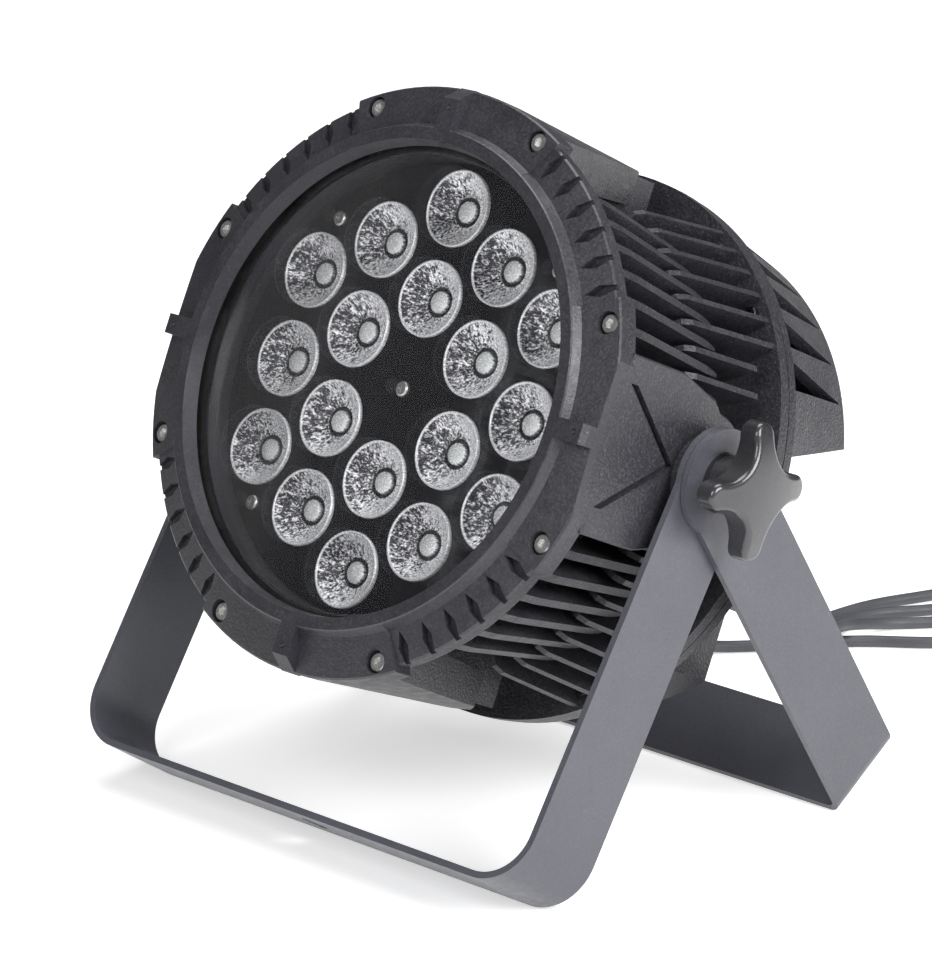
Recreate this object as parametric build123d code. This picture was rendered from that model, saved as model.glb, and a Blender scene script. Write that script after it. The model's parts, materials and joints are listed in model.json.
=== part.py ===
from build123d import *
import math
import os

# A stage par lamp on two nested U brackets, standing on a floor.  Millimetres, +Z up,
# the lens side faces -Y, the tilt pivot runs along X, and the origin is on the floor
# under the middle of the lamp's own box.

# ------------------------------------------------------------------ driving dimensions
PIVOT_HEIGHT = 178.0
PIVOT_Y = -16.8
UP_TILT = 25.3

# the head's own frame: origin on the pivot, +Z out of the lenses, +Y up, +X to the side
LENS_PITCH = 42.0
LENS_RIM_RADIUS = 17.6
RIM_PLANE = 58.7
PANEL_FACE = RIM_PLANE - 2.0
SEAM = RIM_PLANE + 12.0
RING_FACE = RIM_PLANE + 24.5

RING_INNER = 108.3
RING_OUTER = 114.4
LIP_INNER = 107.0
TOOTH_RADIUS = 131.8
PAD_RADIUS = 134.5
PAD_HALF_ANGLE = 27.0
GLASS_RADIUS = 111.3
GLASS_THICKNESS = 4.0
BEZEL_SCREW_CIRCLE = 127.9
BEZEL_SCREW_COUNT = 8

FLANGE_RADIUS = 130.8
FLANGE_DEPTH = 6.0
CHAMBER_RADIUS = 104.5
CHAMBER_WALL = 110.0
DRUM_RADIUS = 96.0
DRUM_INNER = 90.0
BACK_PLATE_FRONT = 40.0
BACK_PLATE_REAR = 31.0
REAR_RING_FRONT = -49.3
REAR_RING_REAR = -55.3
REAR_RING_RADIUS = 130.0

FIN_FIRST = 17.0
FIN_STEP = 5.9
FIN_OUTER = 128.3
FIN_WAIST = 118.5
FRONT_FIN_COUNT = 7
REAR_FIN_COUNT = 8
SHORT_FIN_COUNT = 2
FRONT_FIN_THICKNESS = 4.0
REAR_FIN_THICKNESS = 2.7
FRONT_FIN_END = -18.5
REAR_FIN_START = 11.0

SIDE_PLATE_X = 130.0
SIDE_PLATE_THICKNESS = 9.7
SIDE_PLATE_HALF = 40.0
PIVOT_BOSS_RADIUS = 29.0
SADDLE_HALF_FRONT = 55.0
SADDLE_HALF_REAR = 38.0
SADDLE_REAR = -19.0

COVER_FRONT = REAR_RING_REAR - 1.5
COVER_RING_THICKNESS = 5.0
COVER_RADIUS = 129.3
COVER_REAR = -118.3
COVER_RIM_RADIUS = 117.5
COVER_WALL = 4.0
HOUSING_HALF_WIDTH = 75.0
HOUSING_RADIUS = 112.5
POCKET_STEP = 9.6
POCKET_COUNT = 14

STRIP_WIDTH = 44.5
STRIP_THICKNESS = 3.0
FRONT_BRACKET_WIDTH = 279.2
REAR_BRACKET_WIDTH = 285.8
FRONT_LEG_ANGLE = -33.45
REAR_LEG_ANGLE = 32.75
FRONT_BEND_RADIUS = 25.0
REAR_BEND_RADIUS = 7.0
ARM_END_RADIUS = 24.0
CLAMP_HOLE_RADIUS = 6.5
STUD_RADIUS = 4.0
STUD_HOLE_RADIUS = 4.3
INSERT_RADIUS = 8.0

KNOB_RADIUS = 30.8
KNOB_TIP_RADIUS = 6.0
KNOB_VALLEY = 15.5
KNOB_THICKNESS = 14.0
KNOB_DOME_RADIUS = 105.0
KNOB_HUB_RADIUS = 13.0
KNOB_TURN_AT_REST = -8.3

LEAD_RADIUS = 3.0
GLAND_LENGTH = 26.0
GLAND_RISE = -18.0
GLAND_DROP = -45.0
GLAND_INNER_X = 14.0
GLAND_OUTER_X = 40.0
PLUG_RADIUS = 9.0
PLUG_LENGTH = 52.0
SHROUD_RADIUS = 7.6

BUTTON_RADIUS = 4.5
BUTTON_PITCH = 16.0
BUTTON_ROW_Y = 14.0

os.makedirs("parts", exist_ok=True)

HEAD_PLACE = Pos(0, PIVOT_Y, PIVOT_HEIGHT) * Rot(90 - UP_TILT, 0, 0)
QUARTERS = (0, 90, 180, 270)
SIDES = (("right", 1), ("left", -1))


# ------------------------------------------------------------------ helpers
def flat(*points):
    """Closed outline through the points, always facing its plane's normal."""
    ahead = points[1:] + points[:1]
    area = sum(p[0] * q[1] - q[0] * p[1] for p, q in zip(points, ahead))
    return Polygon(*(points if area > 0 else points[::-1]), align=None)


def disc(radius, low, high, hole=0.0):
    """Round plate about the optical axis between two depths."""
    solid = Pos(0, 0, low) * extrude(Circle(radius), high - low)
    if hole > 0:
        solid -= Pos(0, 0, low - 1) * extrude(Circle(hole), high - low + 2)
    return solid


def turned(points, arc=360.0, start=0.0):
    """Revolve an outline of (radius, depth) points about the optical axis.

    The arc is counted from the head's +Y (twelve o'clock) towards +X.
    """
    outline = Plane.XZ * flat(*points)
    solid = revolve(outline, Axis.Z, revolution_arc=arc)
    return Rot(0, 0, 90 - start - arc) * solid


def clock(angle):
    """Turn about the optical axis so that +Y goes to a clock angle."""
    return Rot(0, 0, -angle)


def merged(solids):
    """One shape from many that touch."""
    first = solids[0]
    return first.fuse(*solids[1:]).clean() if len(solids) > 1 else first


def at_clock(radius, angle, depth):
    """Place something on a circle of the head at a clock angle."""
    return clock(angle) * Pos(0, radius, depth)


def rod(radius, low, high):
    """Cylinder along Z between two heights."""
    return Pos(0, 0, (low + high) / 2) * Cylinder(radius, high - low)


def side_rod(radius, start, end):
    """Cylinder along X between two distances from the middle."""
    return Pos((start + end) / 2, 0, 0) * Rot(0, 90, 0) * Cylinder(radius, abs(end - start))


def screw(head_radius, head_height, shank_radius, shank_length, hex_flats):
    """Socket-head screw, head top at Z 0, pointing to -Z."""
    solid = rod(head_radius, -head_height, 0) + rod(shank_radius, -head_height - shank_length, -head_height)
    solid = chamfer(solid.faces().sort_by(Axis.Z)[-1].edges(), 0.5)
    socket = extrude(RegularPolygon(hex_flats / 2, 6, major_radius=False), -head_height * 0.6)
    return solid - socket


def lens_places():
    """Centres of the eighteen lenses: a hexagonal grid, one row upright, no centre lens."""
    places = []
    for column in range(-2, 3):
        for row in range(-4, 5):
            if (row + column) % 2 == 0:
                x = column * LENS_PITCH * math.sin(math.radians(60))
                y = row * LENS_PITCH / 2
                reach = math.hypot(x, y)
                if LENS_PITCH * 0.5 < reach < LENS_PITCH * 2.1:
                    places.append((x, y))
    return places


def save(shape, node):
    """Write one node, placed in the lamp's frame already."""
    export_step(shape, "parts/" + node + ".step")


def save_head(shape, node):
    save(HEAD_PLACE * shape, node)


# ------------------------------------------------------------------ bezel
PAD_INNER_HEIGHT = RIM_PLANE + 20.0
PAD_OUTER_HEIGHT = RIM_PLANE + 16.5
TOOTH_DROP = 1.3
LIP_BACK = SEAM + GLASS_THICKNESS + 0.2
RECESS_RADIUS = GLASS_RADIUS + 0.5
NOTCH_COUNT = 6
NOTCH_STEP = 6.2
NOTCH_FLOOR = SEAM + 1.2
TAB_WIDTH = 9.2
TAB_REACH = 128.0
TAB_TIP = 134.8
SCREW_HEAD_RADIUS = 4.25
SCREW_HEAD_HEIGHT = 2.8
SCREW_HEAD_TOP = RIM_PLANE + 15.9
COUNTERBORE_RADIUS = 5.2
SCREW_CLEARANCE = 2.75
M5_RADIUS = 2.45
M5_TAP = 2.5


def bezel_screw_angles():
    return [360 / BEZEL_SCREW_COUNT * (i + 0.5) for i in range(BEZEL_SCREW_COUNT)]


def bezel_profile(outer, inner_height, outer_height):
    return [(LIP_INNER, LIP_BACK), (RING_INNER, RING_FACE), (RING_OUTER - 0.6, RING_FACE),
            (RING_OUTER, RING_FACE - 0.6), (116.3, inner_height), (outer - 0.8, outer_height),
            (outer, outer_height - 0.8), (outer, SEAM), (RECESS_RADIUS, SEAM), (RECESS_RADIUS, LIP_BACK)]


def notch():
    outline = flat((0, 117.6), (2.8, 124.5), (1.3, 131.0), (1.9, 140.0), (-1.9, 140.0),
                      (-1.3, 131.0), (-2.8, 124.5))
    return Pos(0, 0, NOTCH_FLOOR) * extrude(outline, 20)


def tab():
    outline = flat((RING_INNER + 3, SEAM), (RING_INNER + 3, RING_FACE), (TAB_REACH, RING_FACE),
                      (TAB_TIP, SEAM + 3), (TAB_TIP, SEAM))
    solid = extrude(Plane.YZ * outline, TAB_WIDTH / 2, both=True)
    dimple = Pos(0, TAB_REACH - 4, RING_FACE) * Sphere(1.4)
    return solid - dimple


def side_flats(low, high):
    """Blocks outside the two cheeks, which trim the round pads flush with them."""
    blocks = []
    for sign in (1, -1):
        middle = Pos(sign * (SIDE_PLATE_X + 5), 0, (low + high) / 2)
        blocks.append(middle * Box(10, 2 * SIDE_PLATE_HALF, high - low))
    return blocks


def bezel_ring():
    ring = turned(bezel_profile(TOOTH_RADIUS, PAD_INNER_HEIGHT - TOOTH_DROP, PAD_OUTER_HEIGHT - TOOTH_DROP))
    notches = []
    for quarter in QUARTERS:
        for i in range(NOTCH_COUNT):
            notches.append(clock(quarter + 45 + (i - (NOTCH_COUNT - 1) / 2) * NOTCH_STEP) * notch())
    ring = ring.cut(*notches)
    pad_outline = bezel_profile(PAD_RADIUS, PAD_INNER_HEIGHT, PAD_OUTER_HEIGHT)
    pads = [turned(pad_outline, 2 * PAD_HALF_ANGLE, q - PAD_HALF_ANGLE) for q in QUARTERS]
    tabs = [clock(q) * tab() for q in QUARTERS]
    ring = ring.fuse(*pads, *tabs)
    bores = side_flats(SEAM - 1, RING_FACE + 1)
    for angle in bezel_screw_angles():
        place = clock(angle) * Pos(0, BEZEL_SCREW_CIRCLE, 0)
        bores.append(place * rod(COUNTERBORE_RADIUS, SCREW_HEAD_TOP - SCREW_HEAD_HEIGHT, RING_FACE))
        bores.append(place * rod(SCREW_CLEARANCE, SEAM - 1, RING_FACE))
    return ring.cut(*bores)


def bezel_screws():
    one = screw(SCREW_HEAD_RADIUS, SCREW_HEAD_HEIGHT, M5_RADIUS, 7.5, 4.0)
    return Compound([at_clock(BEZEL_SCREW_CIRCLE, a, SCREW_HEAD_TOP) * one for a in bezel_screw_angles()])


# ------------------------------------------------------------------ glass and optics
GASKET_INNER = 105.6
GASKET_OUTER = 110.8
GASKET_DEPTH = 1.4
PANEL_THICKNESS = 2.0
PANEL_RADIUS = 103.9
PANEL_HOLE_RADIUS = LENS_RIM_RADIUS + 0.3
PANEL_SCREW_CIRCLE = 95.5
M3_RADIUS = 1.45
LED_BOARD_THICKNESS = 1.6
LED_BOARD_RADIUS = 100.0
LENS_BODY_TOP = PANEL_FACE - PANEL_THICKNESS - 0.2
LENS_BODY_RADIUS = 15.6
LENS_FOOT_RADIUS = 6.2
LENS_FOOT = BACK_PLATE_FRONT + LED_BOARD_THICKNESS + 3.2
LENS_POST_RADIUS = 4.6
HOLDER_RADIUS = 17.2


def front_glass():
    return disc(GLASS_RADIUS, SEAM + 0.1, SEAM + 0.1 + GLASS_THICKNESS)


def glass_gasket():
    return disc(GASKET_OUTER, SEAM - GASKET_DEPTH, SEAM + 0.1, GASKET_INNER)


def lens_panel():
    plate = disc(PANEL_RADIUS, PANEL_FACE - PANEL_THICKNESS, PANEL_FACE)
    holes = [Pos(x, y, 0) * rod(PANEL_HOLE_RADIUS, PANEL_FACE - 5, PANEL_FACE + 1) for x, y in lens_places()]
    holes += [Pos(x, y, 0) * rod(M3_RADIUS + 0.2, PANEL_FACE - 5, PANEL_FACE + 1) for x, y in panel_screw_places()]
    return plate.cut(*holes)


def panel_screw_places():
    reach = PANEL_SCREW_CIRCLE / math.sqrt(2)
    return [(0, 0)] + [(sx * reach, sy * reach) for sx in (1, -1) for sy in (1, -1)]


def panel_screws():
    head = rod(3.6, 0, 2.0)
    head = fillet(head.edges().group_by(Axis.Z)[-1], 1.2)
    one = head + rod(M3_RADIUS, -PANEL_THICKNESS - 2.8, 0)
    for turn in (0, 90):
        one -= Pos(0, 0, 1.6) * Rot(0, 0, turn) * Box(3.6, 0.8, 1.4)
    return Compound([Pos(x, y, PANEL_FACE) * one for x, y in panel_screw_places()])


def collimator_lens():
    """Clear lens: rim, deep reflecting body, dished front with a round post in the middle."""
    rim_low = PANEL_FACE - PANEL_THICKNESS - 0.2
    depth = RIM_PLANE - LENS_FOOT
    outline = [(0, LENS_FOOT + 5.0), (3.4, LENS_FOOT + 4.2), (3.6, LENS_FOOT), (LENS_FOOT_RADIUS, LENS_FOOT),
               (11.2, LENS_FOOT + depth * 0.38), (LENS_BODY_RADIUS, LENS_BODY_TOP - 0.6),
               (LENS_RIM_RADIUS, rim_low), (LENS_RIM_RADIUS, RIM_PLANE), (LENS_RIM_RADIUS - 0.8, RIM_PLANE),
               (LENS_RIM_RADIUS - 1.3, RIM_PLANE - 0.8), (LENS_POST_RADIUS + 2.4, RIM_PLANE - 5.2),
               (LENS_POST_RADIUS + 0.2, RIM_PLANE - 5.4), (LENS_POST_RADIUS, RIM_PLANE - 2.6),
               (0, RIM_PLANE - 2.2)]
    return turned(outline)


def collimator_lenses():
    one = collimator_lens()
    return Compound([Pos(x, y, 0) * one for x, y in lens_places()])


def lens_holders():
    """Black cups that carry the lenses on the board."""
    low = BACK_PLATE_FRONT + LED_BOARD_THICKNESS
    wall = disc(HOLDER_RADIUS, low, LENS_BODY_TOP - 1.2, HOLDER_RADIUS - 1.2)
    foot = disc(HOLDER_RADIUS, low, low + 1.4, 7.6)
    one = wall + foot
    return Compound([Pos(x, y, 0) * one for x, y in lens_places()])


def led_emitters():
    low = BACK_PLATE_FRONT + LED_BOARD_THICKNESS
    dome = Pos(0, 0, low + 1.0) * Sphere(2.0, arc_size1=0)
    one = Pos(0, 0, low + 0.5) * Box(7, 7, 1.0) + dome
    return Compound([Pos(x, y, 0) * one for x, y in lens_places()])


def led_board():
    return disc(LED_BOARD_RADIUS, BACK_PLATE_FRONT, BACK_PLATE_FRONT + LED_BOARD_THICKNESS)


def panel_posts():
    """Spacers from the heat-sink plate to the lens panel, with the screws' threads."""
    low = BACK_PLATE_FRONT + LED_BOARD_THICKNESS
    one = disc(3.2, low, PANEL_FACE - PANEL_THICKNESS, 0)
    one -= rod(M3_RADIUS + 0.05, PANEL_FACE - PANEL_THICKNESS - 4, PANEL_FACE)
    return Compound([Pos(x, y, 0) * one for x, y in panel_screw_places()])


# ------------------------------------------------------------------ finned body
FIN_ROOT = DRUM_RADIUS - 3
CHAMBER_ROOT = CHAMBER_RADIUS + 2.5
STEP_DEPTH = BACK_PLATE_FRONT - 4
FLANGE_REAR = SEAM - FLANGE_DEPTH
PLATE_INNER_X = SIDE_PLATE_X - SIDE_PLATE_THICKNESS
BOSS_FACE_X = 132.9
GROOVE_WIDTH = 4.4
GROOVE_DEPTH = 3.5
GROOVE_APEX = (0.0, 22.5)
GROOVE_START = (26.5, 60.8)
BOSS_RADIUS = 19.5
INSERT_LENGTH = 30.0


def fin_angles(step):
    """Clock angles, one in each quarter, that many fin steps up or down from the first fin."""
    away = FIN_FIRST + step * FIN_STEP
    return [90 - away, 90 + away, 270 - away, 270 + away]


def front_fin():
    """Fin behind the flange, leaning in towards the waist and drawn out to a thin tip."""
    outline = flat((CHAMBER_ROOT, FLANGE_REAR + 1), (FIN_OUTER, FLANGE_REAR + 1), (FIN_OUTER - 0.8, 50),
                   (FIN_WAIST + 1.2, FRONT_FIN_END + 10), (FIN_WAIST - 0.5, FRONT_FIN_END + 1.5),
                   (FIN_WAIST - 5, FRONT_FIN_END), (FIN_ROOT, FRONT_FIN_END), (FIN_ROOT, STEP_DEPTH),
                   (CHAMBER_ROOT, STEP_DEPTH))
    half = FRONT_FIN_THICKNESS / 2
    plan = flat((-half, FLANGE_REAR + 1), (half, FLANGE_REAR + 1), (half, FRONT_FIN_END + 13),
                (half * 0.7, FRONT_FIN_END + 5), (half * 0.3, FRONT_FIN_END), (-half * 0.3, FRONT_FIN_END),
                (-half * 0.7, FRONT_FIN_END + 5), (-half, FRONT_FIN_END + 13))
    blade = extrude(Plane.YZ * outline, half + 1, both=True)
    return blade & (Pos(0, FIN_ROOT - 5, 0) * extrude(Plane.XZ * plan, -50))


def rear_fin(end, outer):
    """Fin in front of the rear ring, rising from the waist to the ring's edge."""
    outline = flat((FIN_ROOT, end), (outer, end), (FIN_WAIST + 4.0, REAR_FIN_START - 7),
                   (FIN_WAIST + 1.5, REAR_FIN_START - 1.5), (FIN_WAIST - 4, REAR_FIN_START),
                   (FIN_ROOT, REAR_FIN_START))
    return extrude(Plane.YZ * outline, REAR_FIN_THICKNESS / 2, both=True)


def core():
    """The space inside the body's walls, to the middle of the walls."""
    return turned([(0, REAR_RING_REAR - 5), (FIN_ROOT, REAR_RING_REAR - 5), (FIN_ROOT, STEP_DEPTH),
                   (CHAMBER_ROOT, STEP_DEPTH), (CHAMBER_ROOT, SEAM + 5), (0, SEAM + 5)])


def side_plate():
    """Flat cheek from the flange back to the pivot boss, in the plane of Y and depth."""
    edge = SIDE_PLATE_HALF
    boss = Circle(PIVOT_BOSS_RADIUS)
    neck = flat((-edge, FLANGE_REAR + 1), (edge, FLANGE_REAR + 1), (edge, 30), (33.5, 4),
                   (21.0, -12), (-21.0, -12), (-33.5, 4), (-edge, 30))
    outline = boss + neck
    # outline: across the head's height, then along the depth
    cheek = Pos(PLATE_INNER_X, 0, 0) * extrude(Plane.YZ * outline, SIDE_PLATE_THICKNESS)
    cheek = chamfer(cheek.faces().sort_by(Axis.X)[-1].edges(), 0.8)
    root = side_rod(BOSS_RADIUS, DRUM_INNER - 4, BOSS_FACE_X)
    webs = []
    for lift in (-30, -10, 10, 30):
        webs.append(Pos((DRUM_RADIUS + PLATE_INNER_X) / 2 - 4, lift, 35.5) * Box(PLATE_INNER_X - DRUM_RADIUS + 18, 4, 60))
    solid = cheek.fuse(root, *webs) - core()
    rise, depth = GROOVE_START
    apex = GROOVE_APEX[1]
    wide = GROOVE_WIDTH / 2 / math.cos(math.atan2(rise, depth - apex))
    vee = flat((0, apex - wide), (rise + 1, depth - wide), (rise + 1, depth + wide), (0, apex + wide),
                  (-rise - 1, depth + wide), (-rise - 1, depth - wide))
    return solid - Pos(SIDE_PLATE_X - GROOVE_DEPTH, 0, 0) * extrude(Plane.YZ * vee, GROOVE_DEPTH + 1)


def saddle():
    """Smooth ramp behind the twelve o'clock pad, tapering to the rear."""
    shell = turned([(FIN_OUTER - 12, SADDLE_REAR), (FIN_OUTER + 2.5, SADDLE_REAR),
                    (PAD_RADIUS, FLANGE_REAR + 1), (FIN_OUTER - 12, FLANGE_REAR + 1)])
    trapezoid = flat((-SADDLE_HALF_FRONT, FLANGE_REAR + 1), (SADDLE_HALF_FRONT, FLANGE_REAR + 1),
                        (SADDLE_HALF_REAR, SADDLE_REAR + 10), (SADDLE_HALF_REAR - 10, SADDLE_REAR),
                        (10 - SADDLE_HALF_REAR, SADDLE_REAR), (-SADDLE_HALF_REAR, SADDLE_REAR + 10))
    keep = Pos(0, 60, 0) * extrude(Plane.XZ * trapezoid, -90)
    webs = []
    for x in (-33, -11, 11, 33):
        webs.append(Pos(x, (DRUM_RADIUS + FIN_OUTER - 10) / 2, 20) * Box(4, FIN_OUTER - DRUM_RADIUS + 2, 90))
    return (shell & keep).fuse(*webs) - core()


def heatsink_body():
    outline = [(CHAMBER_RADIUS, SEAM), (FLANGE_RADIUS, SEAM), (FLANGE_RADIUS, FLANGE_REAR),
               (CHAMBER_WALL, FLANGE_REAR), (CHAMBER_WALL, BACK_PLATE_REAR), (DRUM_RADIUS, BACK_PLATE_REAR),
               (DRUM_RADIUS, REAR_RING_FRONT), (REAR_RING_RADIUS, REAR_RING_FRONT),
               (REAR_RING_RADIUS, REAR_RING_REAR), (DRUM_INNER, REAR_RING_REAR), (DRUM_INNER, BACK_PLATE_REAR),
               (0, BACK_PLATE_REAR), (0, BACK_PLATE_FRONT), (CHAMBER_RADIUS, BACK_PLATE_FRONT)]
    body = turned(outline)
    extras = []
    pad = [(FLANGE_RADIUS - 6, FLANGE_REAR), (PAD_RADIUS, FLANGE_REAR), (PAD_RADIUS, SEAM), (FLANGE_RADIUS - 6, SEAM)]
    extras += [turned(pad, 2 * PAD_HALF_ANGLE, quarter - PAD_HALF_ANGLE) for quarter in QUARTERS]
    for step in range(FRONT_FIN_COUNT):
        extras += [clock(angle) * front_fin() for angle in fin_angles(step)]
    for step in range(REAR_FIN_COUNT):
        short = step < SHORT_FIN_COUNT
        end = REAR_RING_FRONT + 12 if short else REAR_RING_FRONT - 1
        outer = FIN_OUTER - 2.5 if short else FIN_OUTER
        extras += [clock(angle) * rear_fin(end, outer) for angle in fin_angles(step + 0.5)]
    extras += [side_plate(), Rot(0, 0, 180) * side_plate(), saddle(), Rot(0, 0, 180) * saddle()]
    body = body.fuse(*extras)
    cuts = [disc(GASKET_OUTER + 0.1, SEAM - GASKET_DEPTH, SEAM + 1, GASKET_INNER - 0.1)]
    cuts += side_flats(FLANGE_REAR - 1, SEAM + 1)
    cuts += [at_clock(BEZEL_SCREW_CIRCLE, a, 0) * rod(M5_TAP, FLANGE_REAR - 1, SEAM + 1) for a in bezel_screw_angles()]
    for sign in (1, -1):
        cuts.append(side_rod(INSERT_RADIUS, sign * (BOSS_FACE_X - INSERT_LENGTH), sign * (BOSS_FACE_X + 1)))
    cuts += [at_clock(COVER_SCREW_CIRCLE, a, 0) * rod(M4_RADIUS + 0.3, REAR_RING_REAR - 1, REAR_RING_FRONT + 1)
             for a in cover_screw_angles()]
    cuts.append(disc(COVER_SEAL_OUTER + 0.1, REAR_RING_REAR - 1, REAR_RING_REAR + 1, COVER_SEAL_INNER - 0.1))
    return body.cut(*cuts)


# ------------------------------------------------------------------ rear cover
COVER_SEAL_INNER = 98.0
COVER_SEAL_OUTER = 103.0
COVER_SCREW_CIRCLE = 121.5
M4_RADIUS = 1.95
M4_TAP = 2.0
CUT_FRONT_Y = 21.5
CUT_REAR_Y = 36.0
POCKET_FRONT = -62.5
POCKET_POINT = -113.0
DISPLAY_Y = 42.0


def cover_screw_angles():
    return fin_angles(4) + fin_angles(7)


def gland_places():
    return [(-GLAND_OUTER_X, GLAND_DROP), (-GLAND_INNER_X, GLAND_RISE),
            (GLAND_INNER_X, GLAND_RISE), (GLAND_OUTER_X, GLAND_DROP)]


def button_places():
    return [((i - 1.5) * BUTTON_PITCH, BUTTON_ROW_Y) for i in range(4)]


def fairing():
    """Ribbed upper shroud: a cone shell with triangular pockets, open below its lower edge."""
    ring_rear = COVER_FRONT - COVER_RING_THICKNESS
    cone = [(DRUM_INNER, ring_rear), (126.8, ring_rear), (COVER_RIM_RADIUS, COVER_REAR + 0.8),
            (COVER_RIM_RADIUS - 0.8, COVER_REAR), (DRUM_INNER - 15, COVER_REAR), (DRUM_INNER - 15, ring_rear)]
    hollow = [(88.0, ring_rear + 1), (121.5, ring_rear + 1), (COVER_RIM_RADIUS - 6, COVER_REAR + COVER_WALL),
              (70.0, COVER_REAR + COVER_WALL), (70.0, ring_rear + 1)]
    lower = flat((ring_rear + 1, CUT_FRONT_Y), (COVER_REAR - 1, CUT_REAR_Y), (COVER_REAR - 1, 140),
                    (ring_rear + 1, 140))
    inner_lower = flat((ring_rear + 2, CUT_FRONT_Y + COVER_WALL), (COVER_REAR - 2, CUT_REAR_Y + COVER_WALL),
                          (COVER_REAR - 2, 150), (ring_rear + 2, 150))
    # both outlines give depth, then height
    side = Plane(origin=(0, 0, 0), x_dir=(0, 0, 1), z_dir=(-1, 0, 0))
    upper = extrude(side * lower, 160, both=True)
    inside = extrude(side * inner_lower, 160, both=True)
    shell = (turned(cone) & upper) - (turned(hollow) & inside)
    pockets = []
    half = math.radians(3.4) * 125
    for i in range(POCKET_COUNT):
        angle = (i - (POCKET_COUNT - 1) / 2) * POCKET_STEP
        outline = flat((-half, POCKET_FRONT), (half, POCKET_FRONT), (0.3, POCKET_POINT), (-0.3, POCKET_POINT))
        pockets.append(clock(angle) * Pos(0, 140, 0) * extrude(Plane.XZ * outline, 32))
    return shell.cut(*pockets)


def housing_outline(inset):
    return Circle(HOUSING_RADIUS - inset) & Rectangle(2 * (HOUSING_HALF_WIDTH - inset), 3 * HOUSING_RADIUS)


def rear_cover():
    ring_rear = COVER_FRONT - COVER_RING_THICKNESS
    ring = disc(COVER_RADIUS, ring_rear, COVER_FRONT)
    box = Pos(0, 0, COVER_REAR) * extrude(housing_outline(0), ring_rear - COVER_REAR + 1)
    box = chamfer(box.faces().sort_by(Axis.Z)[0].edges(), 1.5)
    hollow = Pos(0, 0, COVER_REAR + COVER_WALL) * extrude(housing_outline(COVER_WALL), 80)
    cover = ring.fuse(box, fairing())
    cover = cover.cut(hollow & disc(DRUM_INNER - 1, COVER_REAR, COVER_FRONT + 1),
                      (Pos(0, 0, COVER_REAR + COVER_WALL) * extrude(housing_outline(COVER_WALL),
                       ring_rear - COVER_REAR - COVER_WALL)))
    cuts = []
    for angle in cover_screw_angles():
        cuts.append(at_clock(COVER_SCREW_CIRCLE, angle, 0) * rod(M4_TAP, ring_rear - 1, COVER_FRONT + 1))
    for x, y in gland_places():
        cuts.append(Pos(x, y, 0) * rod(6.0, COVER_REAR - 1, COVER_REAR + COVER_WALL + 1))
    for x, y in button_places():
        cuts.append(Pos(x, y, 0) * rod(BUTTON_RADIUS + 0.3, COVER_REAR - 1, COVER_REAR + COVER_WALL + 1))
    cuts.append(Pos(0, DISPLAY_Y, COVER_REAR + COVER_WALL / 2) * Box(56, 24, COVER_WALL + 2))
    cuts.append(Pos(0, DISPLAY_Y, COVER_REAR) * Box(64, 32, 3.0))
    cuts.append(Pos(*VENT_PLACE, 0) * rod(6.0, COVER_REAR - 1, COVER_REAR + COVER_WALL + 1))
    cuts.append(Pos(*EYE_PLACE, 0) * rod(M4_RADIUS + 1.05, COVER_REAR - 1, COVER_REAR + COVER_WALL + 1))
    cover = cover.cut(*cuts)
    return cover


def rear_cover_seal():
    return disc(COVER_SEAL_OUTER, COVER_FRONT, REAR_RING_REAR + 1, COVER_SEAL_INNER)


def rear_cover_screws():
    head = 3.0
    top = REAR_RING_FRONT + head
    one = screw(3.4, head, M4_RADIUS, REAR_RING_FRONT - COVER_FRONT + COVER_RING_THICKNESS - 0.5, 3.0)
    return Compound([at_clock(COVER_SCREW_CIRCLE, a, top) * one for a in cover_screw_angles()])


# ------------------------------------------------------------------ things on the rear panel
VENT_PLACE = (52.0, -8.0)
EYE_PLACE = (0.0, 80.0)


def display_window():
    glass = Pos(0, DISPLAY_Y, COVER_REAR + 0.75) * Box(63.4, 31.4, 1.5)
    return fillet(glass.edges().filter_by(Axis.Z), 2.0)


def display_board():
    board = Pos(0, 31, COVER_REAR + COVER_WALL + 5.0) * Box(86, 58, 1.6)
    screen = Pos(0, DISPLAY_Y, COVER_REAR + COVER_WALL + 2.6) * Box(52, 20, 3.2)
    switches = [Pos(x, y, COVER_REAR + COVER_WALL + 3.6) * Box(6, 6, 1.2) for x, y in button_places()]
    return board.fuse(screen, *switches)


def menu_button(x, y):
    cap = Pos(x, y, 0) * rod(BUTTON_RADIUS, COVER_REAR - 2.2, COVER_REAR + COVER_WALL)
    cap = fillet(cap.edges().group_by(Axis.Z)[0], 0.9)
    collar = Pos(x, y, 0) * rod(BUTTON_RADIUS + 1.4, COVER_REAR + COVER_WALL + 0.1, COVER_REAR + COVER_WALL + 1.1)
    return cap + collar + Pos(x, y, 0) * rod(BUTTON_RADIUS, COVER_REAR + COVER_WALL - 0.5, COVER_REAR + COVER_WALL + 1)


def cable_glands():
    """Hexagon body, thread through the panel and tapered strain relief, one for each lead."""
    glands = []
    for x, y in gland_places():
        body = Pos(0, 0, COVER_REAR - 6) * extrude(RegularPolygon(9.0, 6, major_radius=False), 6)
        body += rod(5.9, COVER_REAR - 1, COVER_REAR + COVER_WALL + 6)
        body += Pos(0, 0, COVER_REAR - 12) * extrude(Circle(7.4), 6)
        body -= rod(LEAD_RADIUS + 0.1, COVER_REAR - 13, COVER_REAR + COVER_WALL + 7)
        glands.append(Pos(x, y, 0) * body)
    return Compound(glands)


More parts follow.
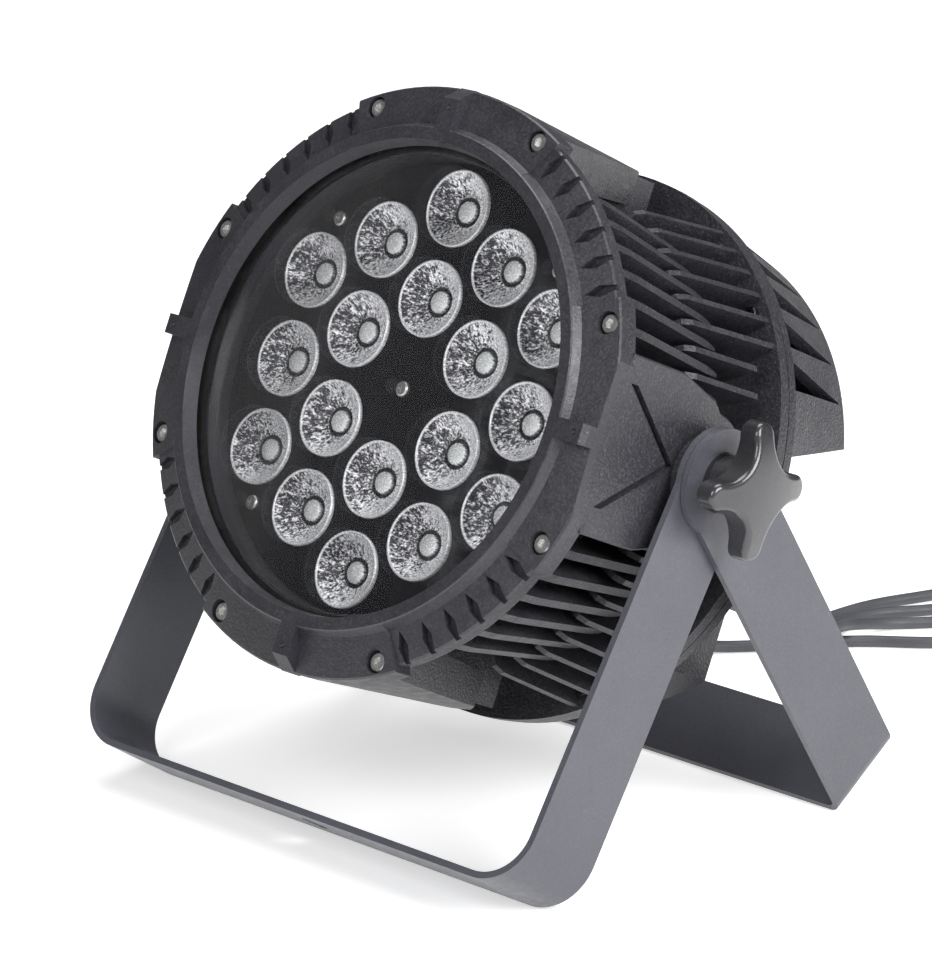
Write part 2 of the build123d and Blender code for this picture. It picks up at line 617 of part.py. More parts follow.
def gland_nuts():
    """Dome nuts with a long tapered bush that grips the lead."""
    nuts = []
    outline = [(LEAD_RADIUS + 0.05, COVER_REAR - GLAND_LENGTH), (4.2, COVER_REAR - GLAND_LENGTH),
               (5.0, COVER_REAR - 19), (7.6, COVER_REAR - 17), (8.4, COVER_REAR - 12),
               (LEAD_RADIUS + 0.05, COVER_REAR - 12)]
    for x, y in gland_places():
        nuts.append(Pos(x, y, 0) * turned(outline))
    return Compound(nuts)


def gland_locknuts():
    nuts = []
    for x, y in gland_places():
        nut = Pos(x, y, COVER_REAR + COVER_WALL) * extrude(RegularPolygon(9.0, 6, major_radius=False), 4)
        nuts.append(nut - Pos(x, y, 0) * rod(5.95, COVER_REAR, COVER_REAR + 20))
    return Compound(nuts)


def vent_plug():
    x, y = VENT_PLACE
    cap = disc(8.0, COVER_REAR - 5, COVER_REAR)
    cap = chamfer(cap.faces().sort_by(Axis.Z)[0].edges(), 1.2)
    stem = rod(5.9, COVER_REAR - 0.5, COVER_REAR + COVER_WALL + 5)
    slots = [Rot(0, 0, a) * Pos(8, 0, COVER_REAR - 2.5) * Box(4, 1.6, 2) for a in range(0, 360, 60)]
    return Pos(x, y, 0) * (cap + stem).cut(*slots)


def safety_eye():
    """Steel eye for a safety wire, screwed into the top of the rear panel."""
    x, y = EYE_PLACE
    loop = Pos(0, 0, COVER_REAR - 13.5) * Rot(0, 90, 0) * Torus(9.0, 2.5)
    collar = disc(6.5, COVER_REAR - 3.5, COVER_REAR)
    shank = rod(M4_RADIUS + 1.0, COVER_REAR - 4.5, COVER_REAR + COVER_WALL + 8)
    return Pos(x, y, 0) * (loop + collar + shank)


# ------------------------------------------------------------------ inside the drum
SUPPLY_FLOOR = BACK_PLATE_REAR - 6.0


def power_supply():
    case = Pos(0, -28, SUPPLY_FLOOR - 17) * Box(130, 58, 34)
    return fillet(case.edges().filter_by(Axis.Z), 3.0)


def driver_board():
    board = Pos(0, 38, SUPPLY_FLOOR) * Box(120, 56, 1.6)
    parts = [Pos(-40 + 26 * i, 38, SUPPLY_FLOOR - 6) * Box(14, 30, 10.6) for i in range(4)]
    return board.fuse(*parts)


def board_standoffs():
    posts = []
    for x in (-54, 54):
        for y in (16, 60):
            posts.append(Pos(x, y, 0) * rod(3.0, SUPPLY_FLOOR + 0.8, BACK_PLATE_REAR))
    for x in (-50, 50):
        for y in (-48, -8):
            posts.append(Pos(x, y, 0) * rod(3.5, SUPPLY_FLOOR, BACK_PLATE_REAR))
    return Compound(posts)


# ------------------------------------------------------------------ pivots
WASHER_RADIUS = 19.0
INNER_ARM_FACE = FRONT_BRACKET_WIDTH / 2 - STRIP_THICKNESS
OUTER_ARM_OUTSIDE = REAR_BRACKET_WIDTH / 2
OUTER_ARM_FACE = OUTER_ARM_OUTSIDE - STRIP_THICKNESS
CLAMP_WASHER_RADIUS = 13.5
CLAMP_WASHER_THICKNESS = 2.0
KNOB_BASE = OUTER_ARM_OUTSIDE + 0.05 + CLAMP_WASHER_THICKNESS
KNOB_LOBE_LOW = KNOB_BASE + 9.0
STUD_LENGTH = 42.0


def at_pivot(shape):
    return Pos(0, PIVOT_Y, PIVOT_HEIGHT) * shape


def pivot_insert():
    """Threaded steel bush in the head's side boss."""
    bush = side_rod(INSERT_RADIUS - 0.02, BOSS_FACE_X - INSERT_LENGTH, BOSS_FACE_X)
    return bush - side_rod(STUD_RADIUS + 0.06, BOSS_FACE_X - INSERT_LENGTH + 3, BOSS_FACE_X + 1)


def friction_washer():
    disc_shape = side_rod(WASHER_RADIUS, BOSS_FACE_X, INNER_ARM_FACE - 0.05)
    return disc_shape - side_rod(STUD_HOLE_RADIUS, BOSS_FACE_X - 1, INNER_ARM_FACE + 1)


def clamp_washer():
    ring = side_rod(CLAMP_WASHER_RADIUS, OUTER_ARM_OUTSIDE + 0.05, KNOB_BASE - 0.02)
    return ring - side_rod(STUD_HOLE_RADIUS, OUTER_ARM_OUTSIDE - 1, KNOB_BASE + 1)


def knob_outline():
    """Four tapered lobes with round tips, joined by round valleys that run into them smoothly."""
    tip = KNOB_RADIUS - KNOB_TIP_RADIUS
    # the valley's radius that touches the tip circle and passes the middle at KNOB_VALLEY
    gap = KNOB_VALLEY - KNOB_TIP_RADIUS
    span = (tip ** 2 - gap ** 2) / (math.sqrt(2) * tip - 2 * gap)
    centre = Vector(span / math.sqrt(2), span / math.sqrt(2))
    inward = (centre - Vector(tip, 0)).normalized()
    touch = Vector(tip, 0) + inward * KNOB_TIP_RADIUS
    arcs = []
    for quarter in QUARTERS:
        ends = [Vector(touch.X, -touch.Y), Vector(touch.X, touch.Y), Vector(touch.Y, touch.X)]
        tops = [Vector(KNOB_RADIUS, 0), Vector(KNOB_VALLEY, 0).rotate(Axis.Z, 45)]
        for i, top in enumerate(tops):
            spots = [spot.rotate(Axis.Z, quarter) for spot in (ends[i], top, ends[i + 1])]
            arcs.append(ThreePointArc(*spots))
    return make_face(Curve() + arcs)


def knob_grip():
    """Star grip: lobed disc under one broad dome, on a round neck, axis along X."""
    lobes = extrude(knob_outline(), KNOB_THICKNESS)
    lobes &= Pos(0, 0, KNOB_THICKNESS - KNOB_DOME_RADIUS) * Rot(90, 0, 0) * Sphere(KNOB_DOME_RADIUS)
    lobes = fillet(lobes.faces().sort_by(Axis.Z)[-1].edges(), 2.6)
    lobes = fillet(lobes.faces().sort_by(Axis.Z)[0].edges(), 1.4)
    neck = Pos(0, 0, KNOB_BASE - KNOB_LOBE_LOW) * extrude(Circle(KNOB_HUB_RADIUS), KNOB_LOBE_LOW - KNOB_BASE + 2)
    solid = lobes.fuse(neck)
    bore = rod(STUD_RADIUS, KNOB_BASE - KNOB_LOBE_LOW - 1, 9.0)
    solid -= bore
    # lobes point along the head's Y and Z after the turn onto X
    return Pos(KNOB_LOBE_LOW, 0, 0) * Rot(0, 90, 0) * Rot(0, 0, 90 + KNOB_TURN_AT_REST) * solid


def knob_stud():
    end = KNOB_LOBE_LOW + 8.9
    return side_rod(STUD_RADIUS - 0.01, end - STUD_LENGTH, end)


# ------------------------------------------------------------------ brackets
def bent_strip(width, length, bend):
    """U of flat strip: arms hang down from the pivot, the bar lies across at the bottom."""
    half = width / 2
    outside = Rectangle(width, length + ARM_END_RADIUS)
    outside = fillet(outside.vertices().group_by(Axis.Y)[0], bend)
    inside = Pos(0, STRIP_THICKNESS) * Rectangle(width - 2 * STRIP_THICKNESS, length + ARM_END_RADIUS)
    inside = fillet(inside.vertices().group_by(Axis.Y)[0], max(bend - STRIP_THICKNESS, 0.5))
    frame = Pos(0, -(length - ARM_END_RADIUS) / 2) * (outside - inside)
    u_shape = extrude(Plane.XZ * frame, STRIP_WIDTH / 2, both=True)
    side_view = Rectangle(STRIP_WIDTH, length * 2) & (Pos(0, -length) * Rectangle(100, 2 * length))
    keep = extrude(Plane.YZ * (side_view + Circle(ARM_END_RADIUS)), half + 1, both=True)
    wide = extrude(Plane.XZ * frame, ARM_END_RADIUS, both=True)
    arms = wide & keep
    return (u_shape & keep).fuse(arms)


def bracket(width, length, bend, angle):
    strip = bent_strip(width, length, bend)
    strip -= side_rod(STUD_HOLE_RADIUS, -width, width)
    strip -= Pos(0, 0, -length) * Cylinder(CLAMP_HOLE_RADIUS, 20)
    return at_pivot(Rot(angle, 0, 0) * strip)


def leg_length(angle):
    """Distance from the pivot to the bar's outer face that puts its lower edge on the floor."""
    lean = math.radians(abs(angle))
    return (PIVOT_HEIGHT - STRIP_WIDTH / 2 * math.sin(lean)) / math.cos(lean)


# ------------------------------------------------------------------ leads
# Each route starts straight out of its gland; these are the points after that, with Y
# counted from the pivot.
LEAD_START_RUN = 20.0
POWER_IN_ROUTE = [(-12, 166, 73), (-12, 193, 49), (-16, 219, 27), (-24, 244, 10), (-30, 268, 3), (-31, 294, 3),
                  (-28, 322, 3), (-15, 354, 3), (-8, 378, 3), (-7, 399, 9), (-10, 420, 9)]
POWER_OUT_ROUTE = [(14, 167, 75), (12, 194, 54), (6, 219, 33), (-3, 244, 18), (-13, 268, 8), (-21, 291, 3),
                   (-18, 312, 3), (0, 335, 3), (8, 358, 3), (12, 380, 3), (13, 401, 9), (12, 421, 9)]
DATA_IN_ROUTE = [(39, 156, 52), (34, 182, 36), (25, 207, 23), (13, 232, 17), (1, 256, 14), (-6, 280, 8),
                 (-3, 303, 3), (14, 322, 3), (26, 343, 3), (34, 366, 3), (37, 388, 9), (37, 408, 9)]
DATA_OUT_ROUTE = [(-41, 152, 52), (-44, 173, 30), (-48, 193, 10), (-44, 214, 3), (-28, 232, 3), (-14, 250, 3),
                  (3, 273, 3), (32, 295, 3), (50, 316, 3), (62, 340, 3), (66, 362, 9), (67, 383, 9)]
LEADS = [("power_in", (-GLAND_INNER_X, GLAND_RISE), POWER_IN_ROUTE),
         ("power_out", (GLAND_INNER_X, GLAND_RISE), POWER_OUT_ROUTE),
         ("data_in", (GLAND_OUTER_X, GLAND_DROP), DATA_IN_ROUTE),
         ("data_out", (-GLAND_OUTER_X, GLAND_DROP), DATA_OUT_ROUTE)]


def lead_spots(gland, route):
    """The whole route: the gland's mouth, a straight run out of it, then the listed points."""
    mouth = COVER_REAR - GLAND_LENGTH
    ends = [HEAD_PLACE * Pos(*gland, depth) for depth in (mouth, mouth - LEAD_START_RUN)]
    return [end.position for end in ends] + [Vector(x, y + PIVOT_Y, z) for x, y, z in route]


def lead(name, spots):
    """Plain tube: straight runs joined by the largest arcs that they allow."""
    radii = []
    for before, here, after in zip(spots, spots[1:], spots[2:]):
        turn = (here - before).get_angle(after - here)
        run = min((here - before).length, (after - here).length)
        radii.append(0.45 * run / math.tan(math.radians(turn) / 2))
    path = FilletPolyline(*spots, radius=radii)
    start = Plane(origin=path @ 0, z_dir=path % 0)
    tube = sweep(start * Circle(LEAD_RADIUS), path=path)
    ideal = math.pi * LEAD_RADIUS ** 2 * path.length
    print(name, "length", round(path.length, 1), "volume ratio", round(tube.volume / ideal, 4),
          "smallest radius", round(min(radii), 1), "radii", [round(r) for r in radii],
          "route", [tuple(round(c, 2) for c in spot) for spot in spots])
    return tube, Plane(origin=path @ 1, z_dir=path % 1)


def inline_plug(place, pins):
    """Waterproof inline connector: tapered tail, round body, threaded shroud, contact pins."""
    outline = flat((0, 0), (LEAD_RADIUS + 1.0, 0), (5.6, 14), (7.2, 16), (7.2, 30), (8.6, 31),
                      (8.6, 34), (SHROUD_RADIUS, 34), (SHROUD_RADIUS, 48), (0, 48))
    body = revolve(Plane.XZ * outline, Axis.Z)
    body -= Pos(0, 0, 38) * extrude(Circle(SHROUD_RADIUS - 1.3), 20)
    for i in range(pins):
        body += Rot(0, 0, 360 / pins * i) * Pos(3.2, 0, 37) * extrude(Circle(0.9), 9)
    grooves = [Rot(0, 0, a) * Pos(7.5, 0, 23) * Box(1.2, 1.4, 9) for a in range(0, 360, 30)]
    return place * body.cut(*grooves)


def blanking_cap(place):
    """Ribbed cap that closes an unused connector."""
    cap = Pos(0, 0, 34.3) * extrude(Circle(PLUG_RADIUS - 0.5), PLUG_LENGTH - 34.3)
    cap = chamfer(cap.faces().sort_by(Axis.Z)[-1].edges(), 1.0)
    ribs = [Rot(0, 0, a) * Pos(PLUG_RADIUS - 0.8, 0, 42) * Box(1.6, 1.6, 12) for a in range(0, 360, 24)]
    cap = cap.fuse(*ribs)
    cap -= Pos(0, 0, 30) * extrude(Circle(SHROUD_RADIUS + 0.1), 18.2)
    return place * cap


# ------------------------------------------------------------------ write every node
def write_head():
    save_head(bezel_ring(), "bezel_ring")
    save_head(bezel_screws(), "bezel_screws")
    save_head(front_glass(), "front_glass")
    save_head(glass_gasket(), "glass_gasket")
    save_head(lens_panel(), "lens_panel")
    save_head(panel_screws(), "panel_screws")
    save_head(panel_posts(), "panel_posts")
    save_head(collimator_lenses(), "collimator_lenses")
    save_head(lens_holders(), "lens_holders")
    save_head(led_emitters(), "led_emitters")
    save_head(led_board(), "led_board")
    save_head(heatsink_body(), "heatsink_body")
    save_head(rear_cover(), "rear_cover")
    save_head(rear_cover_seal(), "rear_cover_seal")
    save_head(rear_cover_screws(), "rear_cover_screws")
    save_head(display_window(), "display_window")
    save_head(display_board(), "display_board")
    for name, (x, y) in zip(("menu_button", "down_button", "up_button", "enter_button"), button_places()):
        save_head(menu_button(x, y), name)
    save_head(cable_glands(), "cable_glands")
    save_head(gland_nuts(), "gland_nuts")
    save_head(gland_locknuts(), "gland_locknuts")
    save_head(vent_plug(), "vent_plug")
    save_head(safety_eye(), "safety_eye")
    save_head(power_supply(), "power_supply")
    save_head(driver_board(), "driver_board")
    save_head(board_standoffs(), "board_standoffs")


def write_pivots():
    for side, sign in SIDES:
        turn = Rot(0, 0, 0 if sign > 0 else 180)
        save(at_pivot(turn * pivot_insert()), "pivot_insert_" + side)
        save(at_pivot(turn * friction_washer()), "friction_washer_" + side)
        save(at_pivot(turn * clamp_washer()), "clamp_washer_" + side)
        save(at_pivot(turn * knob_grip()), "knob_" + side)
        save(at_pivot(turn * knob_stud()), "knob_stud_" + side)


def write_brackets():
    save(bracket(FRONT_BRACKET_WIDTH, leg_length(FRONT_LEG_ANGLE), FRONT_BEND_RADIUS, FRONT_LEG_ANGLE),
         "front_bracket")
    save(bracket(REAR_BRACKET_WIDTH, leg_length(REAR_LEG_ANGLE), REAR_BEND_RADIUS, REAR_LEG_ANGLE),
         "rear_bracket")


def write_leads():
    for name, gland, route in LEADS:
        tube, end = lead(name, lead_spots(gland, route))
        save(tube, name + "_lead")
        save(inline_plug(end, 3 if name.startswith("power") else 5), name + "_plug")
        save(blanking_cap(end), name + "_cap")


write_head()
write_pivots()
write_brackets()
write_leads()
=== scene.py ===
import json
import math

import bpy
from mathutils import Matrix, Vector


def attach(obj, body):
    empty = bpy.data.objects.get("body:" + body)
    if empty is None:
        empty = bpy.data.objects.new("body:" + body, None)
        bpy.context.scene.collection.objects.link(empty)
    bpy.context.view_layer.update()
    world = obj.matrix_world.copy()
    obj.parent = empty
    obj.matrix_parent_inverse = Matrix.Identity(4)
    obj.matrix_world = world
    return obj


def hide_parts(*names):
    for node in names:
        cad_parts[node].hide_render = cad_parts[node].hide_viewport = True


bl_info = {
    "name": "Stage Par Light",
    "version": (1, 0, 0),
    "blender": (4, 5, 0),
    "location": "3D View > Sidebar > Par Light",
    "description": "Finishes, leads and studio for a stage par light with two folding brackets",
    "category": "Object",
}

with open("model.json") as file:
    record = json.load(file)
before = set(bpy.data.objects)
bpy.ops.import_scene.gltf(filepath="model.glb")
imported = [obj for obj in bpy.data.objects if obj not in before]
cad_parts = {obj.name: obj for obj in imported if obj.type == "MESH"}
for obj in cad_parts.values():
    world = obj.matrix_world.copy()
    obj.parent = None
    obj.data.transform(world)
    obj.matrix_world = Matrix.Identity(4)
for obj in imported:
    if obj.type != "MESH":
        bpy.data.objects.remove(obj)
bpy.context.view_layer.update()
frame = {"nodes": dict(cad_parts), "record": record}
MM = 0.001


def joint(name):
    """One joint of the frame's record, by its name."""
    return [each for each in frame["record"]["behaviour"]["joints"] if each["name"] == name][0]


# The head at rest: its tilt pivot from the record, and the directions of its beam and its top
PIVOT = Vector(joint("head_tilt")["pos_m"])
UP_TILT = math.radians(25.3)
BEAM = Vector((0, -math.cos(UP_TILT), math.sin(UP_TILT)))
HEAD_UP = Vector((0, math.sin(UP_TILT), math.cos(UP_TILT)))

# The camera: lens and sensor in millimetres, then its place, beside and ahead of the pivot and
# above the floor, and the way it looks
CAMERA_LENS = 174.4
CAMERA_SENSOR = 36.0
CAMERA_REACH = 60.0
CAMERA_BESIDE = 1.3918
CAMERA_BEHIND = -1.4652
CAMERA_HEIGHT = 0.7785
CAMERA_AHEAD = (-0.6602, 0.6897, -0.2976)

# The studio: the background as the camera sees it, and the weaker light that it gives the lamp
BACKDROP_SEEN = 1.0
BACKDROP_LIGHT = 0.11
FLOOR_GLOW = 0.5

# Area lamps: name, place, side, and power as a setting's name and its share of that setting
LAMPS = (
    ("key_light", (2.2, -0.1, 1.5), 1.5, "key_light", 1.0),
    ("top_light", (-0.2, 0.5, 2.3), 1.4, "side_light", 1.6),
    ("lens_card", (0.7, -2.4, 1.7), 1.3, "side_light", 1.7),
)

# Points of each lead in millimetres, from the mouth of its gland to its connector
ROUTES = {
    "power_in": [(-14, 105.97, 100.06), (-14, 124.05, 91.51), (-12, 149.2, 73), (-12, 176.2, 49),
                 (-16, 202.2, 27), (-24, 227.2, 10), (-30, 251.2, 3), (-31, 277.2, 3), (-28, 305.2, 3),
                 (-15, 337.2, 3), (-8, 361.2, 3), (-7, 382.2, 9), (-10, 403.2, 9)],
    "power_out": [(14, 105.97, 100.06), (14, 124.05, 91.51), (14, 150.2, 75), (12, 177.2, 54),
                  (6, 202.2, 33), (-3, 227.2, 18), (-13, 251.2, 8), (-21, 274.2, 3), (-18, 295.2, 3),
                  (0, 318.2, 3), (8, 341.2, 3), (12, 363.2, 3), (13, 384.2, 9), (12, 404.2, 9)],
    "data_in": [(40, 94.43, 75.65), (40, 112.51, 67.1), (39, 139.2, 52), (34, 165.2, 36),
                (25, 190.2, 23), (13, 215.2, 17), (1, 239.2, 14), (-6, 263.2, 8), (-3, 286.2, 3),
                (14, 305.2, 3), (26, 326.2, 3), (34, 349.2, 3), (37, 371.2, 9), (37, 391.2, 9)],
    "data_out": [(-40, 94.43, 75.65), (-40, 112.51, 67.1), (-41, 135.2, 52), (-44, 156.2, 30),
                 (-48, 176.2, 10), (-44, 197.2, 3), (-28, 215.2, 3), (-14, 233.2, 3), (3, 256.2, 3),
                 (32, 278.2, 3), (50, 299.2, 3), (62, 323.2, 3), (66, 345.2, 9), (67, 366.2, 9)],
}


# Smoothness of each lead's curve, and the roundness of its tube
LEAD_STEPS = 12
LEAD_ROUNDNESS = 6

# The lenses: a hexagonal grid with no lens in the middle, and the outline of one dish in
# millimetres, as distance from its own axis and depth along the beam from the pivot
LENS_PITCH = 42.0
LENS_STEPS = 72
LENS_PROFILE = [(17.6, 56.5), (17.6, 58.7), (17.0, 58.7), (16.5, 58.1), (14.5, 55.6), (12.0, 53.2),
                (9.5, 51.4), (7.7, 50.5), (7.3, 50.9), (6.9, 50.5), (6.7, 49.0), (5.3, 49.0),
                (5.0, 51.3), (4.7, 51.5), (3.5, 52.0), (2.0, 52.3), (0.01, 52.4)]

# The dish's rings by radius in millimetres: middle disc, dark well round it, cone and rim. Each
# pair is where one ring fades into the next. Their colours are painted light: the light disc and rim
# are painted highlights, and the dark well is painted shade.
DISC_EDGE = (4.7, 4.9)
WELL_START = (4.9, 5.2)
WELL_END = (6.9, 7.2)
RIM_START = (16.4, 16.7)


def lens_centres():
    """Places of the eighteen lenses, across and up the head, in millimetres."""
    centres = []
    for column in range(-2, 3):
        for row in range(-4, 5):
            x = column * LENS_PITCH * math.sin(math.radians(60))
            y = row * LENS_PITCH / 2
            if (row + column) % 2 == 0 and LENS_PITCH * 0.5 < math.hypot(x, y) < LENS_PITCH * 2.1:
                centres.append((x, y))
    return centres


def in_head(x, y, depth):
    """A point given across, up and along the head's beam, in millimetres."""
    return PIVOT + Vector((x, 0, 0)) * MM + HEAD_UP * (y * MM) + BEAM * (depth * MM)


# ------------------------------------------------------------------ settings
class ParColours(bpy.types.PropertyGroup):
    """Colours that a user may change"""

    powder_coat: bpy.props.FloatVectorProperty(
        name="Powder coat", description="Housing, bezel and rear cover", subtype="COLOR",
        default=(0.024, 0.023, 0.029))
    bracket_coat: bpy.props.FloatVectorProperty(
        name="Bracket coat", description="The two U brackets", subtype="COLOR",
        default=(0.078, 0.080, 0.097))
    lens_panel: bpy.props.FloatVectorProperty(
        name="Lens panel", description="Plate round the lenses", subtype="COLOR",
        default=(0.005, 0.0046, 0.0075))
    knob: bpy.props.FloatVectorProperty(
        name="Knobs", description="Moulded star knobs", subtype="COLOR", default=(0.020, 0.020, 0.023))
    lead: bpy.props.FloatVectorProperty(
        name="Lead jacket", description="Rubber jacket of the leads", subtype="COLOR",
        default=(0.060, 0.062, 0.070))
    emitter: bpy.props.FloatVectorProperty(
        name="Emitters", description="Phosphor of the emitters", subtype="COLOR",
        default=(0.72, 0.66, 0.36))
    floor: bpy.props.FloatVectorProperty(
        name="Floor", description="Studio floor and sweep", subtype="COLOR", default=(0.92, 0.92, 0.92))


class ParSizes(bpy.types.PropertyGroup):
    """Sizes that a user may change"""

    coat_grain: bpy.props.FloatProperty(
        name="Coat grain", description="Size of the powder coat's orange peel", default=1.2 * MM,
        unit="LENGTH", subtype="DISTANCE")
    lead_diameter: bpy.props.FloatProperty(
        name="Lead diameter", description="Outside diameter of each lead", default=6 * MM,
        unit="LENGTH", subtype="DISTANCE")
    floor_width: bpy.props.FloatProperty(
        name="Floor width", description="Side of the square floor", default=16.0,
        unit="LENGTH", subtype="DISTANCE")
    key_light: bpy.props.FloatProperty(
        name="Key light", description="Power of the large light above the knob side", default=78.0,
        unit="POWER")
    side_light: bpy.props.FloatProperty(
        name="Side light", description="Power that the top light and the lens card are worked out from",
        default=20.0, unit="POWER")


def colours(context):
    return context.scene.par_colours


def sizes(context):
    return context.scene.par_sizes


# ------------------------------------------------------------------ node helpers
def socket_in(group, name, default, kind="NodeSocketFloat"):
    """One named input of a node group."""
    item = group.interface.new_socket(name, in_out="INPUT", socket_type=kind)
    item.default_value = default


def socket_out(group, name):
    """One named output of a node group: a value."""
    group.interface.new_socket(name, in_out="OUTPUT", socket_type="NodeSocketFloat")


class Graph:
    """Short way to add and link nodes in one tree."""

    def __init__(self, tree):
        self.tree = tree

    def add(self, kind, **settings):
        node = self.tree.nodes.new(kind)
        for key, value in settings.items():
            setattr(node, key, value)
        return node

    def link(self, source, target):
        self.tree.links.new(source, target)

    def math(self, operation, first, second=None, clamp=False):
        node = self.add("ShaderNodeMath", operation=operation, use_clamp=clamp)
        for socket, value in zip(node.inputs, (first, second)):
            if value is None:
                continue
            if isinstance(value, (int, float)):
                socket.default_value = value
            else:
                self.link(value, socket)
        return node.outputs[0]

    def span(self, value, from_low, from_high, to_low=0.0, to_high=1.0):
        node = self.add("ShaderNodeMapRange")
        ends = (("From Min", from_low), ("From Max", from_high), ("To Min", to_low), ("To Max", to_high))
        for name, number in ends:
            node.inputs[name].default_value = number
        self.link(value, node.inputs["Value"])
        return node.outputs["Result"]

    def mix(self, factor, first, second):
        node = self.add("ShaderNodeMix", data_type="RGBA")
        sockets = (node.inputs["Factor"], node.inputs[6], node.inputs[7])
        for socket, value in zip(sockets, (factor, first, second)):
            if isinstance(value, (int, float)):
                socket.default_value = value
            elif isinstance(value, (tuple, list)):
                socket.default_value = (*value[:3], 1.0)
            else:
                self.link(value, socket)
        return node.outputs[2]


def new_group(name, inputs, outputs):
    """An empty node group with its sockets: its graph, and the nodes that its sockets are on."""
    group = bpy.data.node_groups.new(name, "ShaderNodeTree")
    for socket, default in inputs.items():
        kind = "NodeSocketFloat" if isinstance(default, float) else "NodeSocketVector"
        socket_in(group, socket, default, kind)
    for socket in outputs:
        socket_out(group, socket)
    graph = Graph(group)
    return graph, graph.add("NodeGroupInput"), graph.add("NodeGroupOutput")


def orange_peel_group():
    """Pebbled powder coat: a height, and a mask of the pebbles' peaks, which the finishes use for a painted
    highlight.
    """
    g, entry, leave = new_group("orange_peel", {"Grain": 1.5 * MM}, ("Height", "Tops"))
    place = g.add("ShaderNodeTexCoord").outputs["Object"]
    scale = g.math("DIVIDE", 1.0, entry.outputs["Grain"])
    bend = g.add("ShaderNodeTexNoise", noise_dimensions="3D")
    g.link(place, bend.inputs["Vector"])
    g.link(g.math("MULTIPLY", scale, 0.8), bend.inputs["Scale"])
    bend.inputs["Detail"].default_value = 2.0
    cells = g.add("ShaderNodeTexVoronoi", feature="SMOOTH_F1")
    g.link(place, cells.inputs["Vector"])
    g.link(scale, cells.inputs["Scale"])
    cells.inputs["Smoothness"].default_value = 0.7
    fine = g.add("ShaderNodeTexNoise")
    g.link(place, fine.inputs["Vector"])
    g.link(g.math("MULTIPLY", scale, 2.6), fine.inputs["Scale"])
    fine.inputs["Detail"].default_value = 3.0
    cell_height = g.math("SUBTRACT", 1.0, cells.outputs["Distance"])
    swell = g.math("MULTIPLY", bend.outputs["Fac"], 0.6)
    body = g.math("ADD", g.math("MULTIPLY", cell_height, 0.55), swell)
    height = g.math("ADD", body, g.math("MULTIPLY", fine.outputs["Fac"], 0.25))
    g.link(height, leave.inputs["Height"])
    g.link(g.span(height, 0.70, 1.0), leave.inputs["Tops"])


def drift_group():
    """Slow change over a surface, for colour and roughness, with a finer mottle."""
    g, entry, leave = new_group("drift", {"Size": 0.06, "Mottle": 0.006}, ("Slow", "Fine"))
    place = g.add("ShaderNodeTexCoord").outputs["Object"]
    for name, size, detail in (("Slow", "Size", 3.0), ("Fine", "Mottle", 5.0)):
        noise = g.add("ShaderNodeTexNoise")
        g.link(place, noise.inputs["Vector"])
        g.link(g.math("DIVIDE", 1.0, entry.outputs[size]), noise.inputs["Scale"])
        noise.inputs["Detail"].default_value = detail
        g.link(g.span(noise.outputs["Fac"], 0.3, 0.7), leave.inputs[name])


def dust_group():
    """Specks and a faint film on faces that look up."""
    g, entry, leave = new_group("dust", {"Amount": 0.3}, ("Mask",))
    place = g.add("ShaderNodeTexCoord").outputs["Object"]
    normal = g.add("ShaderNodeSeparateXYZ")
    g.link(g.add("ShaderNodeNewGeometry").outputs["Normal"], normal.inputs[0])
    upward = g.span(normal.outputs["Z"], 0.1, 1.0)
    specks = g.add("ShaderNodeTexNoise")
    g.link(place, specks.inputs["Vector"])
    specks.inputs["Scale"].default_value = 700.0
    specks.inputs["Detail"].default_value = 4.0
    patches = g.add("ShaderNodeTexNoise")
    g.link(place, patches.inputs["Vector"])
    patches.inputs["Scale"].default_value = 28.0
    film = g.math("MULTIPLY", upward, g.span(patches.outputs["Fac"], 0.35, 0.75))
    mask = g.math("MULTIPLY", film, g.span(specks.outputs["Fac"], 0.35, 0.72))
    g.link(g.math("MULTIPLY", mask, entry.outputs["Amount"], clamp=True), leave.inputs["Mask"])


def hairlines_group():
    """Fine hairlines along one direction, as a turned or rubbed metal has."""
    g, entry, leave = new_group("hairlines", {"Width": 0.3 * MM, "Stretch": (1.0, 0.02, 1.0)}, ("Lines",))
    place = g.add("ShaderNodeTexCoord").outputs["Object"]
    shrink = g.add("ShaderNodeVectorMath", operation="MULTIPLY")
    g.link(place, shrink.inputs[0])
    g.link(entry.outputs["Stretch"], shrink.inputs[1])
    lines = g.add("ShaderNodeTexNoise")
    g.link(shrink.outputs[0], lines.inputs["Vector"])
    g.link(g.math("DIVIDE", 1.0, entry.outputs["Width"]), lines.inputs["Scale"])
    lines.inputs["Detail"].default_value = 4.0
    g.link(lines.outputs["Fac"], leave.inputs["Lines"])


def group_node(graph, name, **values):
    """A shared group placed in one material, with that material's own values."""
    node = graph.add("ShaderNodeGroup", node_tree=bpy.data.node_groups[name])
    for key, value in values.items():
        node.inputs[key].default_value = value
    return node


def new_material(name):
    """An empty material: itself, its graph and its Principled shader."""
    material = bpy.data.materials.new(name)
    material.use_nodes = True
    tree = material.node_tree
    shader = tree.nodes["Principled BSDF"]
    return material, Graph(tree), shader


def bump(graph, shader, height, distance):
    """Feed a height to the shader's normal."""
    node = graph.add("ShaderNodeBump")
    node.inputs["Distance"].default_value = distance
    node.inputs["Strength"].default_value = 1.0
    graph.link(height, node.inputs["Height"])
    graph.link(node.outputs["Normal"], shader.inputs["Normal"])


def lighter(colour, factor, lift=0.0):
    """A colour times a factor, above or below 1, plus a little more light."""
    return tuple(min(1.0, c * factor + lift) for c in colour)


